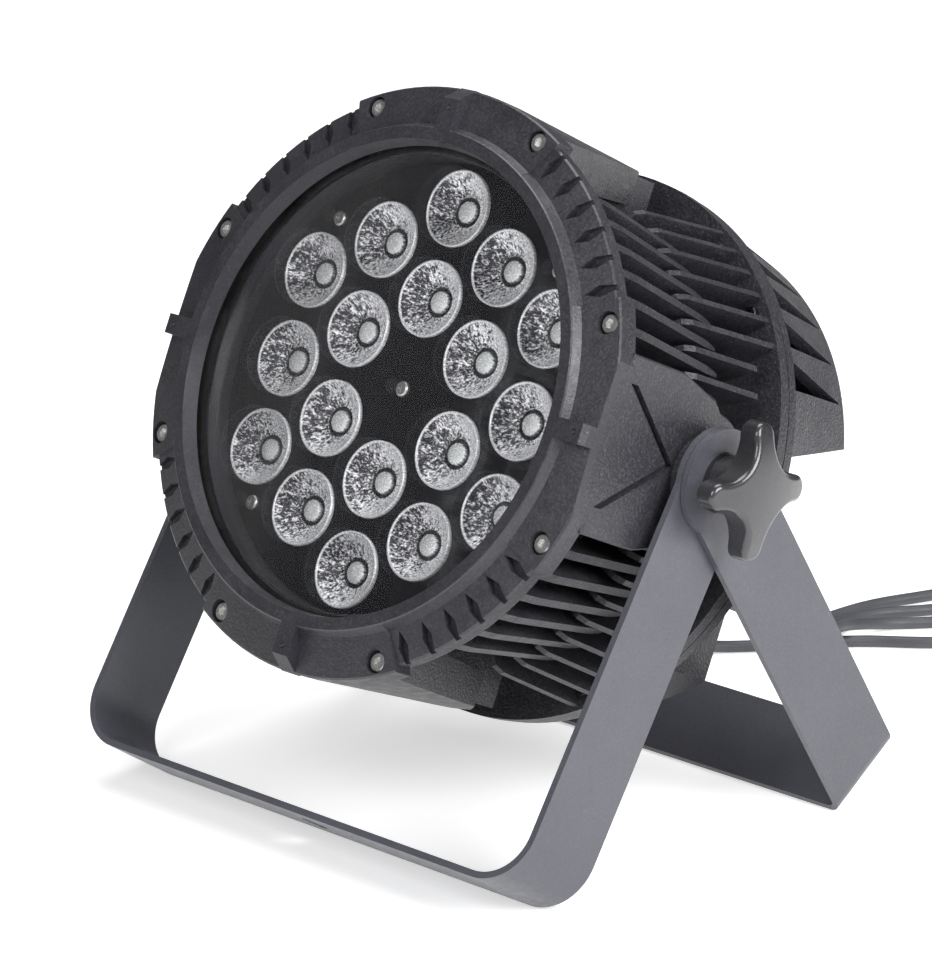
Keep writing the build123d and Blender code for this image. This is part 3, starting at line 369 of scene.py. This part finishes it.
def coat_material(name, colour, grain, bump_height, roughness, dust=0.25, peak_highlight=1.5, specular=0.55):
    """Textured powder coat with pebbles, slow change and dust. peak_highlight is how much lighter the
    pebbles' peaks are painted: a painted highlight on the peaks, with painted shade in the pits.
    """
    material, g, shader = new_material(name)
    peel = group_node(g, "orange_peel", Grain=grain)
    drift = group_node(g, "drift", Size=0.05, Mottle=grain * 5)
    dusty = group_node(g, "dust", Amount=dust)
    # Painted highlight on the pebbles' peaks and painted shade in the pits between them
    base = g.mix(peel.outputs["Tops"], lighter(colour, 0.75), lighter(colour, peak_highlight, 0.004))
    base = g.mix(g.math("MULTIPLY", drift.outputs["Slow"], 0.3), base, lighter(colour, 1.3, 0.003))
    base = g.mix(dusty.outputs["Mask"], base, (0.32, 0.31, 0.30))
    g.link(base, shader.inputs["Base Color"])
    rough = g.span(drift.outputs["Fine"], 0.0, 1.0, roughness - 0.06, roughness + 0.08)
    g.link(rough, shader.inputs["Roughness"])
    shader.inputs["Specular IOR Level"].default_value = specular
    bump(g, shader, peel.outputs["Height"], bump_height)
    return material


def plastic_material(name, colour, roughness, grain=0.8 * MM, bump_height=0.02 * MM, coat=0.0):
    """Moulded plastic or rubber with a faint grain, flow marks and handling marks, and a painted highlight
    on the grain's peaks.
    """
    material, g, shader = new_material(name)
    peel = group_node(g, "orange_peel", Grain=grain)
    drift = group_node(g, "drift", Size=0.03, Mottle=0.004)
    base = g.mix(drift.outputs["Slow"], lighter(colour, 0.8), lighter(colour, 1.25, 0.002))
    # Painted highlight: the grain's peaks are painted lighter
    base = g.mix(g.math("MULTIPLY", peel.outputs["Tops"], 0.35), base, lighter(colour, 1.6, 0.006))
    g.link(base, shader.inputs["Base Color"])
    rough = g.span(drift.outputs["Fine"], 0.0, 1.0, roughness - 0.05, roughness + 0.07)
    g.link(rough, shader.inputs["Roughness"])
    shader.inputs["Coat Weight"].default_value = coat
    shader.inputs["Coat Roughness"].default_value = 0.12
    bump(g, shader, peel.outputs["Height"], bump_height)
    return material


def steel_material(name, colour, roughness):
    """Machined metal with hairlines and slightly uneven polish."""
    material, g, shader = new_material(name)
    lines = group_node(g, "hairlines", Width=0.35 * MM, Stretch=(1.0, 0.03, 1.0))
    drift = group_node(g, "drift", Size=0.01, Mottle=0.0015)
    base = g.mix(drift.outputs["Fine"], lighter(colour, 0.82), lighter(colour, 1.1))
    g.link(base, shader.inputs["Base Color"])
    shader.inputs["Metallic"].default_value = 1.0
    rough = g.span(lines.outputs["Lines"], 0.3, 0.7, roughness - 0.06, roughness + 0.1)
    g.link(rough, shader.inputs["Roughness"])
    bump(g, shader, lines.outputs["Lines"], 0.01 * MM)
    return material


def dress(material, *nodes):
    """Put one finish on CAD nodes."""
    for node in nodes:
        for slot in frame["nodes"][node].material_slots:
            slot.material = material


def soften_edges(*nodes):
    """A small bevel on the sharp edges of CAD nodes."""
    for node in nodes:
        edge = frame["nodes"][node].modifiers.new("soft_edges", "BEVEL")
        edge.width = 0.35 * MM
        edge.segments = 2
        edge.limit_method = "ANGLE"
        edge.angle_limit = math.radians(50)
        edge.harden_normals = False


# ------------------------------------------------------------------ operators
class PAR_OT_stage(bpy.types.Operator):
    """Floor, camera and soft studio light"""

    bl_idname = "par.stage"
    bl_label = "Stage"

    def execute(self, context):
        self.camera(context)
        self.floor(context)
        self.lights(context)
        return {"FINISHED"}

    def camera(self, context):
        data = bpy.data.cameras.new("camera")
        data.lens = CAMERA_LENS
        data.sensor_width = CAMERA_SENSOR
        data.clip_end = CAMERA_REACH
        camera = bpy.data.objects.new("camera", data)
        ahead = Vector(CAMERA_AHEAD).normalized()
        side = ahead.cross(Vector((0, 0, 1))).normalized()
        above = side.cross(ahead)
        turn = Matrix((side, above, -ahead)).transposed()
        place = PIVOT + Vector((CAMERA_BESIDE, CAMERA_BEHIND, CAMERA_HEIGHT - PIVOT.z))
        camera.matrix_world = Matrix.Translation(place) @ turn.to_4x4()
        context.scene.collection.objects.link(camera)
        context.scene.camera = camera

    def floor(self, context):
        reach = sizes(context).floor_width / 2
        mesh = bpy.data.meshes.new("studio_floor")
        corners = [(-reach, -reach, 0), (reach, -reach, 0), (reach, reach, 0), (-reach, reach, 0)]
        mesh.from_pydata(corners, [], [(0, 1, 2, 3)])
        floor = bpy.data.objects.new("studio_floor", mesh)
        context.scene.collection.objects.link(floor)
        material, g, shader = new_material("studio_paper")
        drift = group_node(g, "drift", Size=0.8, Mottle=0.05)
        tint = colours(context).floor
        paper = g.mix(drift.outputs["Slow"], lighter(tint, 0.995), lighter(tint, 1.0))
        g.link(paper, shader.inputs["Base Color"])
        shader.inputs["Roughness"].default_value = 0.9
        shader.inputs["Specular IOR Level"].default_value = 0.1
        shader.inputs["Emission Color"].default_value = (1.0, 1.0, 1.0, 1.0)
        shader.inputs["Emission Strength"].default_value = FLOOR_GLOW
        mesh.materials.append(material)

    def lights(self, context):
        world = bpy.data.worlds.new("studio")
        world.use_nodes = True
        g = Graph(world.node_tree)
        surroundings = world.node_tree.nodes["Background"]
        surroundings.inputs["Color"].default_value = (1.0, 1.0, 1.0, 1.0)
        direct = g.add("ShaderNodeLightPath").outputs["Is Camera Ray"]
        g.link(g.span(direct, 0.0, 1.0, BACKDROP_LIGHT, BACKDROP_SEEN), surroundings.inputs["Strength"])
        context.scene.world = world
        context.scene.view_settings.view_transform = "Standard"
        for name, place, side, setting, share in LAMPS:
            data = bpy.data.lights.new(name, "AREA")
            data.shape = "SQUARE"
            data.size = side
            data.energy = getattr(sizes(context), setting) * share
            lamp = bpy.data.objects.new(name, data)
            lamp.location = place
            lamp.rotation_euler = (PIVOT - Vector(place)).to_track_quat("-Z", "Y").to_euler()
            context.scene.collection.objects.link(lamp)


class PAR_OT_leads(bpy.types.Operator):
    """The four rubber leads, from their glands to their connectors"""

    bl_idname = "par.leads"
    bl_label = "Leads"

    def execute(self, context):
        jacket = colours(context).lead
        material = plastic_material("lead_rubber", jacket, 0.5, grain=0.5 * MM, bump_height=0.015 * MM)
        diameter = sizes(context).lead_diameter
        for name, route in ROUTES.items():
            data = bpy.data.curves.new(name + "_cord", "CURVE")
            data.dimensions = "3D"
            spline = data.splines.new("NURBS")
            spline.points.add(len(route) - 1)
            for point, (x, y, z) in zip(spline.points, route):
                point.co = (x * MM, y * MM, z * MM, 1.0)
            spline.order_u = 3
            spline.use_endpoint_u = True
            spline.resolution_u = LEAD_STEPS
            data.bevel_depth = diameter / 2
            data.bevel_resolution = LEAD_ROUNDNESS
            data.use_fill_caps = True
            cord = bpy.data.objects.new(name + "_cord", data)
            context.scene.collection.objects.link(cord)
            data.materials.append(material)
            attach(cord, "rear_bracket")
            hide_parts(name + "_lead")
        return {"FINISHED"}


class PAR_OT_housing(bpy.types.Operator):
    """Powder coat on the housing, bezel and rear cover"""

    bl_idname = "par.housing"
    bl_label = "Housing"

    def execute(self, context):
        coat = colours(context).powder_coat
        grain = sizes(context).coat_grain
        dress(coat_material("housing_coat", coat, grain, 0.30 * MM, 0.40, peak_highlight=2.2),
              "heatsink_body", "rear_cover")
        dress(coat_material("bezel_coat", lighter(coat, 1.1), grain, 0.12 * MM, 0.38), "bezel_ring")
        soften_edges("bezel_ring")
        return {"FINISHED"}


class PAR_OT_brackets(bpy.types.Operator):
    """Smooth satin coat on the two U brackets"""

    bl_idname = "par.brackets"
    bl_label = "Brackets"

    def execute(self, context):
        coat = colours(context).bracket_coat
        dress(coat_material("bracket_coat", coat, 0.7 * MM, 0.012 * MM, 0.36, dust=0.1, peak_highlight=1.08),
              "front_bracket", "rear_bracket")
        soften_edges("front_bracket", "rear_bracket")
        return {"FINISHED"}


class PAR_OT_optics(bpy.types.Operator):
    """Glass, lenses, lens panel and emitters"""

    bl_idname = "par.optics"
    bl_label = "Optics"

    def execute(self, context):
        self.front_glass()
        self.lenses(context)
        self.emitters(context)
        panel = coat_material("lens_panel_coat", colours(context).lens_panel, 2.5 * MM, 0.01 * MM, 0.60,
                              dust=0.0, peak_highlight=1.2, specular=0.22)
        dress(panel, "lens_panel")
        dress(plastic_material("lens_cup", (0.015, 0.015, 0.016), 0.35), "lens_holders")
        self.board()
        return {"FINISHED"}

    def board(self):
        """White solder mask on the emitters' board."""
        material, g, shader = new_material("emitter_board")
        drift = group_node(g, "drift", Size=0.02, Mottle=0.002)
        mask = g.mix(drift.outputs["Fine"], (0.62, 0.62, 0.60), (0.72, 0.72, 0.70))
        g.link(mask, shader.inputs["Base Color"])
        shader.inputs["Roughness"].default_value = 0.45
        dress(material, "led_board")

    def front_glass(self):
        """Clear glass that is nearly see-through ahead and reflects at a shallow angle."""
        material, g, shader = new_material("front_glass_clear")
        drift = group_node(g, "drift", Size=0.04, Mottle=0.003)
        shader.inputs["Base Color"].default_value = (0.85, 0.9, 0.9, 1.0)
        g.link(g.span(drift.outputs["Fine"], 0.0, 1.0, 0.02, 0.05), shader.inputs["Roughness"])
        shader.inputs["Transmission Weight"].default_value = 1.0
        shader.inputs["Specular IOR Level"].default_value = 0.12
        edge = g.add("ShaderNodeFresnel")
        edge.inputs["IOR"].default_value = 1.45
        reflection = g.math("MULTIPLY", edge.outputs[0], 0.35)
        g.link(g.math("ADD", reflection, 0.012, clamp=True), shader.inputs["Alpha"])
        dress(material, "front_glass")

    def lenses(self, context):
        """One dish for each lens of the grid: rim, deep streaked cone, well and round middle. Each point
        keeps its place from its lens's axis and its lens's number, for the finish to use."""
        spots, faces, places = [], [], []
        for number, (x, y) in enumerate(lens_centres()):
            first = len(spots)
            for radius, depth in LENS_PROFILE:
                for step in range(LENS_STEPS):
                    turn = 2 * math.pi * step / LENS_STEPS
                    across, up = radius * math.cos(turn), radius * math.sin(turn)
                    spots.append(in_head(x + across, y + up, depth))
                    places.append((across, up, number))
            for ring in range(len(LENS_PROFILE) - 1):
                start = first + ring * LENS_STEPS
                for step in range(LENS_STEPS):
                    here, beside = start + step, start + (step + 1) % LENS_STEPS
                    faces.append((here, beside, beside + LENS_STEPS, here + LENS_STEPS))
        mesh = bpy.data.meshes.new("lens_dishes")
        mesh.from_pydata(spots, [], faces)
        mesh.shade_smooth()
        own = mesh.attributes.new("lens_place", "FLOAT_VECTOR", "POINT")
        own.data.foreach_set("vector", [c for place in places for c in place])
        dishes = bpy.data.objects.new("lens_dishes", mesh)
        context.scene.collection.objects.link(dishes)
        mesh.materials.append(self.dish_material())
        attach(dishes, "head")
        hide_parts("collimator_lenses")

    def dish_material(self):
        """Clear moulding with its look painted in: light streaks that run out from the middle are painted
        reflections, the light middle disc and rim are painted highlights, and the dark well round the middle
        is painted shade.
        """
        material, g, shader = new_material("lens_dish")
        place = g.add("ShaderNodeAttribute", attribute_name="lens_place").outputs["Vector"]
        radius, mixed, facet, painted_glint = self.dish_painted_glints(g, place)
        disc = g.span(radius, *DISC_EDGE, 1.0, 0.0)
        well = g.math("MULTIPLY", g.span(radius, *WELL_START), g.span(radius, *WELL_END, 1.0, 0.0))
        rim = g.span(radius, *RIM_START)
        # Painted light on the clear dish: painted reflections in streaks, painted highlights on the middle
        # disc and rim, painted shade in the well
        base = g.mix(painted_glint, (0.03, 0.03, 0.04), (0.95, 0.95, 0.98))
        base = g.mix(disc, base, (0.78, 0.80, 0.80))
        base = g.mix(well, base, (0.03, 0.03, 0.035))
        base = g.mix(rim, base, (0.80, 0.81, 0.84))
        g.link(base, shader.inputs["Base Color"])
        shader.inputs["Metallic"].default_value = 0.4
        g.link(g.span(facet, 0.35, 0.65, 0.14, 0.34), shader.inputs["Roughness"])
        bump(g, shader, mixed, 0.55 * MM)
        return material

    def dish_painted_glints(self, g, place):
        """Radius, streak height, facet noise, and the mask of painted reflections at each point of a dish.
        """
        parts = g.add("ShaderNodeSeparateXYZ")
        g.link(place, parts.inputs[0])
        flat = g.add("ShaderNodeCombineXYZ")
        g.link(parts.outputs["X"], flat.inputs["X"])
        g.link(parts.outputs["Y"], flat.inputs["Y"])
        reach = g.add("ShaderNodeVectorMath", operation="LENGTH")
        g.link(flat.outputs[0], reach.inputs[0])
        radius = reach.outputs["Value"]
        unit = g.add("ShaderNodeVectorMath", operation="NORMALIZE")
        g.link(flat.outputs[0], unit.inputs[0])
        spread = g.add("ShaderNodeVectorMath", operation="SCALE")
        g.link(unit.outputs[0], spread.inputs[0])
        spread.inputs["Scale"].default_value = 4.2
        # Streaks change slowly along the radius, and each lens has its own
        lift = g.add("ShaderNodeCombineXYZ")
        own = g.math("MULTIPLY", parts.outputs["Z"], 7.3)
        g.link(g.math("ADD", g.math("MULTIPLY", radius, 0.28), own), lift.inputs["Z"])
        total = g.add("ShaderNodeVectorMath", operation="ADD")
        g.link(spread.outputs[0], total.inputs[0])
        g.link(lift.outputs[0], total.inputs[1])
        streak = g.add("ShaderNodeTexNoise")
        g.link(total.outputs[0], streak.inputs["Vector"])
        streak.inputs["Scale"].default_value = 1.6
        streak.inputs["Detail"].default_value = 9.0
        streak.inputs["Roughness"].default_value = 0.68
        streak.inputs["Distortion"].default_value = 0.6
        facet = g.add("ShaderNodeTexNoise")
        g.link(place, facet.inputs["Vector"])
        facet.inputs["Scale"].default_value = 1.1
        facet.inputs["Detail"].default_value = 5.0
        mixed = g.math("ADD", g.math("MULTIPLY", streak.outputs["Fac"], 0.65),
                       g.math("MULTIPLY", facet.outputs["Fac"], 0.35))
        # Painted shade: fewer painted reflections on the -X side of each lens, away from the key light
        shade_side = g.span(parts.outputs["X"], -13.0, 8.0, 0.10, -0.05)
        inner = g.span(radius, 4.0, 15.0, 0.03, -0.02)
        threshold = g.math("ADD", 0.46, g.math("ADD", shade_side, inner))
        painted_glint = g.span(g.math("SUBTRACT", mixed, threshold), -0.05, 0.06)
        return radius, mixed, facet.outputs["Fac"], painted_glint

    def emitters(self, context):
        """Phosphor under a clear dome, faintly lit."""
        material, g, shader = new_material("emitter_phosphor")
        drift = group_node(g, "drift", Size=0.004, Mottle=0.0006)
        tint = colours(context).emitter
        phosphor = g.mix(drift.outputs["Fine"], lighter(tint, 0.9), lighter(tint, 1.1))
        g.link(phosphor, shader.inputs["Base Color"])
        shader.inputs["Roughness"].default_value = 0.4
        shader.inputs["Emission Color"].default_value = (1.0, 1.0, 0.98, 1.0)
        shader.inputs["Emission Strength"].default_value = 1.5
        dress(material, "led_emitters")


class PAR_OT_hardware(bpy.types.Operator):
    """Knobs, screws, glands, washers and the rear panel's controls"""

    bl_idname = "par.hardware"
    bl_label = "Hardware"

    def execute(self, context):
        knob = colours(context).knob
        dress(plastic_material("knob_plastic", knob, 0.30, grain=1.0 * MM, bump_height=0.01 * MM, coat=0.6),
              "knob_left", "knob_right")
        dress(steel_material("stainless", (0.72, 0.72, 0.71), 0.36), "bezel_screws", "safety_eye")
        dress(steel_material("black_oxide", (0.05, 0.05, 0.055), 0.38), "rear_cover_screws")
        dress(steel_material("nickel", (0.72, 0.72, 0.70), 0.34), "panel_screws")
        dress(steel_material("bare_steel", (0.5, 0.5, 0.5), 0.33), "pivot_insert_left", "pivot_insert_right",
              "knob_stud_left", "knob_stud_right", "power_supply")
        dress(steel_material("blackened_steel", (0.10, 0.10, 0.11), 0.36),
              "clamp_washer_left", "clamp_washer_right")
        dress(steel_material("machined_aluminium", (0.72, 0.72, 0.73), 0.34),
              "panel_posts", "board_standoffs")
        dress(plastic_material("washer_nylon", (0.05, 0.05, 0.052), 0.5), "friction_washer_left",
              "friction_washer_right")
        dress(plastic_material("gland_nylon", (0.02, 0.02, 0.022), 0.38), "cable_glands", "gland_nuts",
              "gland_locknuts", "vent_plug")
        dress(plastic_material("seal_rubber", (0.015, 0.015, 0.015), 0.6), "glass_gasket", "rear_cover_seal")
        dress(plastic_material("button_rubber", (0.10, 0.10, 0.105), 0.5),
              "menu_button", "down_button", "up_button", "enter_button")
        dress(plastic_material("display_tint", (0.008, 0.009, 0.010), 0.08, coat=1.0), "display_window")
        dress(plastic_material("board_green", (0.02, 0.10, 0.045), 0.4), "driver_board", "display_board")
        connector = plastic_material("connector_nylon", (0.018, 0.018, 0.020), 0.36)
        for name in ROUTES:
            dress(connector, name + "_plug", name + "_cap")
        return {"FINISHED"}


class PAR_PT_panel(bpy.types.Panel):
    """Sidebar tab with every step and setting"""

    bl_label = "Par Light"
    bl_idname = "PAR_PT_panel"
    bl_space_type = "VIEW_3D"
    bl_region_type = "UI"
    bl_category = "Par Light"

    def draw(self, context):
        for operator in OPERATORS:
            self.layout.operator(operator.bl_idname)
        for settings in (context.scene.par_colours, context.scene.par_sizes):
            for name in settings.__annotations__:
                self.layout.prop(settings, name)


OPERATORS = (PAR_OT_stage, PAR_OT_leads, PAR_OT_housing, PAR_OT_brackets, PAR_OT_optics, PAR_OT_hardware)
CLASSES = (ParColours, ParSizes, *OPERATORS, PAR_PT_panel)


def register():
    for item in CLASSES:
        bpy.utils.register_class(item)
    bpy.types.Scene.par_colours = bpy.props.PointerProperty(type=ParColours)
    bpy.types.Scene.par_sizes = bpy.props.PointerProperty(type=ParSizes)


def unregister():
    del bpy.types.Scene.par_sizes
    del bpy.types.Scene.par_colours
    for item in reversed(CLASSES):
        bpy.utils.unregister_class(item)


def main():
    """Build every group and piece in order."""
    register()
    for build in (orange_peel_group, drift_group, dust_group, hairlines_group):
        build()
    for operator in OPERATORS:
        getattr(bpy.ops.par, operator.bl_idname.split(".")[1])()


if __name__ == "__main__":
    main()
